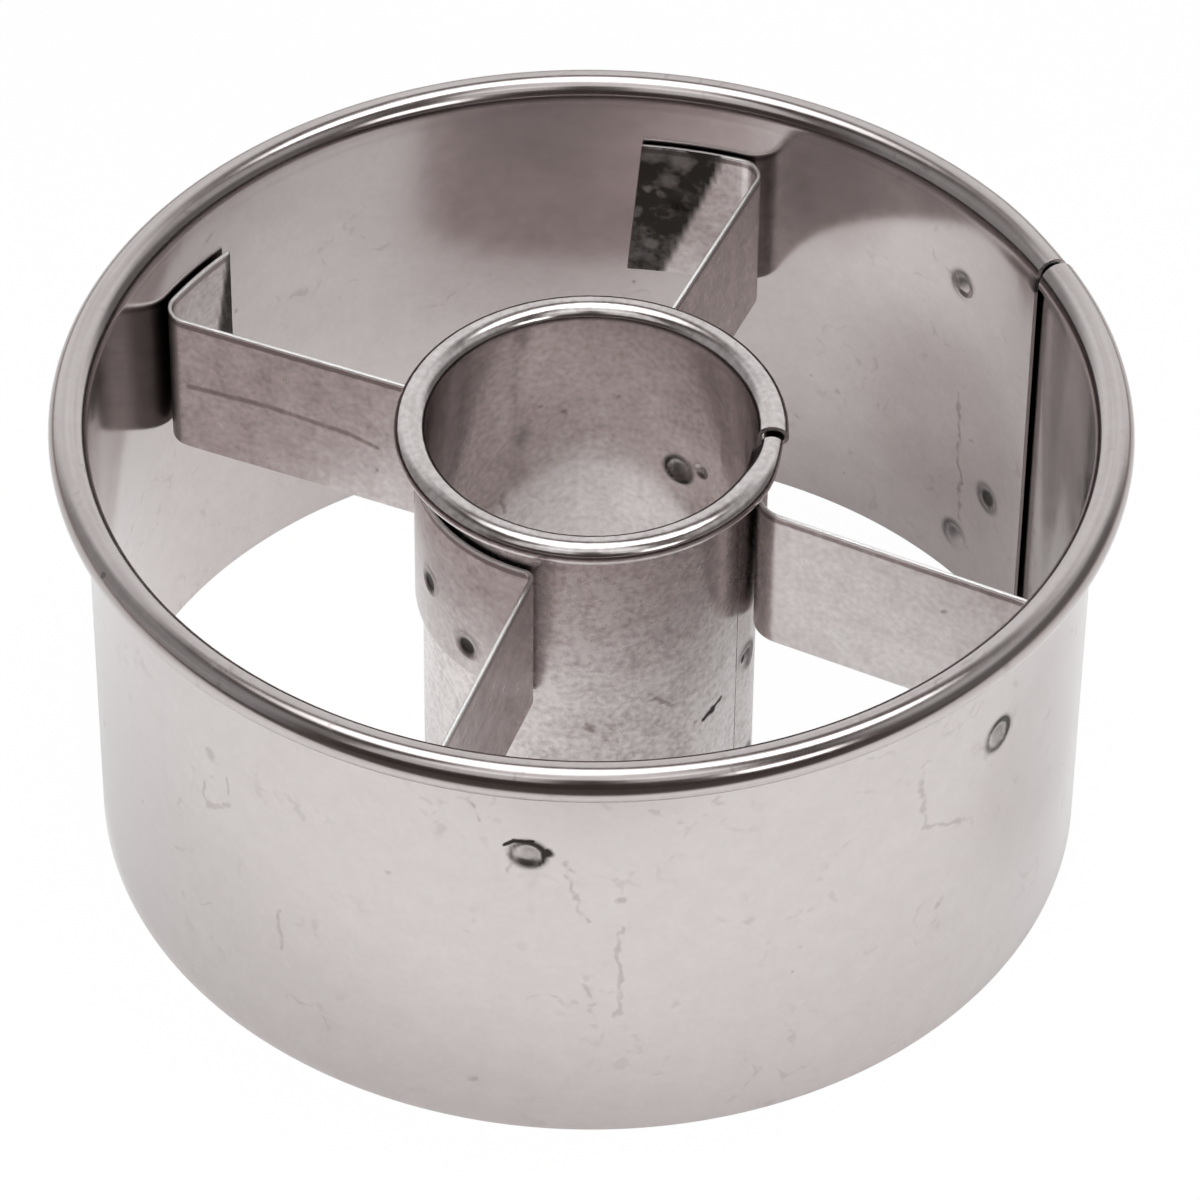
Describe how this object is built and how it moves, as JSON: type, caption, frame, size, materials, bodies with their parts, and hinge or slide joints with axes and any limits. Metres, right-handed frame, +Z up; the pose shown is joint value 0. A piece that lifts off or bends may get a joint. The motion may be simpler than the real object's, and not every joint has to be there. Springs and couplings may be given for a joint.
{
  "type": "doughnut cutter",
  "caption": "Round doughnut cutter of thin sheet metal: a large and a small rolled ring with beaded tops, held concentric by bent, spot-welded bridge strips.",
  "frame": {"origin": "centre of the lower cutting rims, on the surface that the cutter stands on", "axes": "+Z up along the rings' axis; the picture looks from -Y, with +X to its right"},
  "size_m": [0.095, 0.095, 0.0455],
  "materials": {
    "ring_sheet": "satin tinned sheet",
    "strip_sheet": "satin tinned sheet",
    "weld_metal": "dull, heat-darkened"
  },
  "bodies": {
    "root": {"outer_ring": "ring_sheet", "inner_ring": "ring_sheet", "front_left_strip": "strip_sheet", "back_right_strip": "strip_sheet", "outer_seam_weld_1": "weld_metal", "outer_seam_weld_2": "weld_metal", "outer_seam_weld_3": "weld_metal", "inner_seam_weld_1": "weld_metal", "inner_seam_weld_2": "weld_metal", "front_left_wrap_weld_1": "weld_metal", "front_left_wrap_weld_2": "weld_metal", "back_right_wrap_weld_1": "weld_metal", "back_right_wrap_weld_2": "weld_metal", "left_tab_weld": "weld_metal", "front_tab_weld": "weld_metal", "right_tab_weld": "weld_metal", "back_tab_weld": "weld_metal"}
  },
  "joints": []
}
